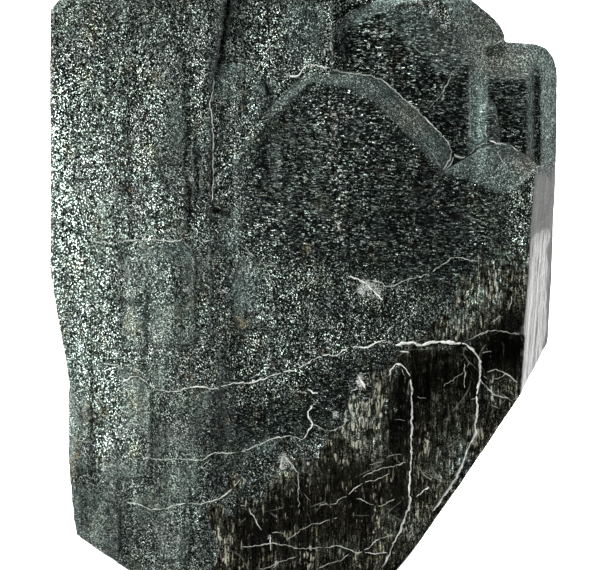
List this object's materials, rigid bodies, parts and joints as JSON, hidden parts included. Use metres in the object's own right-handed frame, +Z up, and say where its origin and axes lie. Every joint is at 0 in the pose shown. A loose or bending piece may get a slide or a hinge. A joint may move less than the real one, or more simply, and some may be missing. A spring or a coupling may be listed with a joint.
{
  "type": "tantalite crystal specimen",
  "caption": "Large block of black tantalite: thick parallel crystals with stepped, arched tops, a pale side face and a broken lower corner.",
  "frame": {"origin": "centre of the specimen's box, on the flat foot that it stands on", "axes": "+Z up along the crystals' length, the broad stepped front faces -Y, the pale side face looks to +X"},
  "size_m": [0.181, 0.0604, 0.2143],
  "materials": {
    "stone": "submetallic black, granular skin, glossy facets and breaks"
  },
  "bodies": {
    "root": {"tantalite_crystal": "stone"}
  },
  "joints": []
}
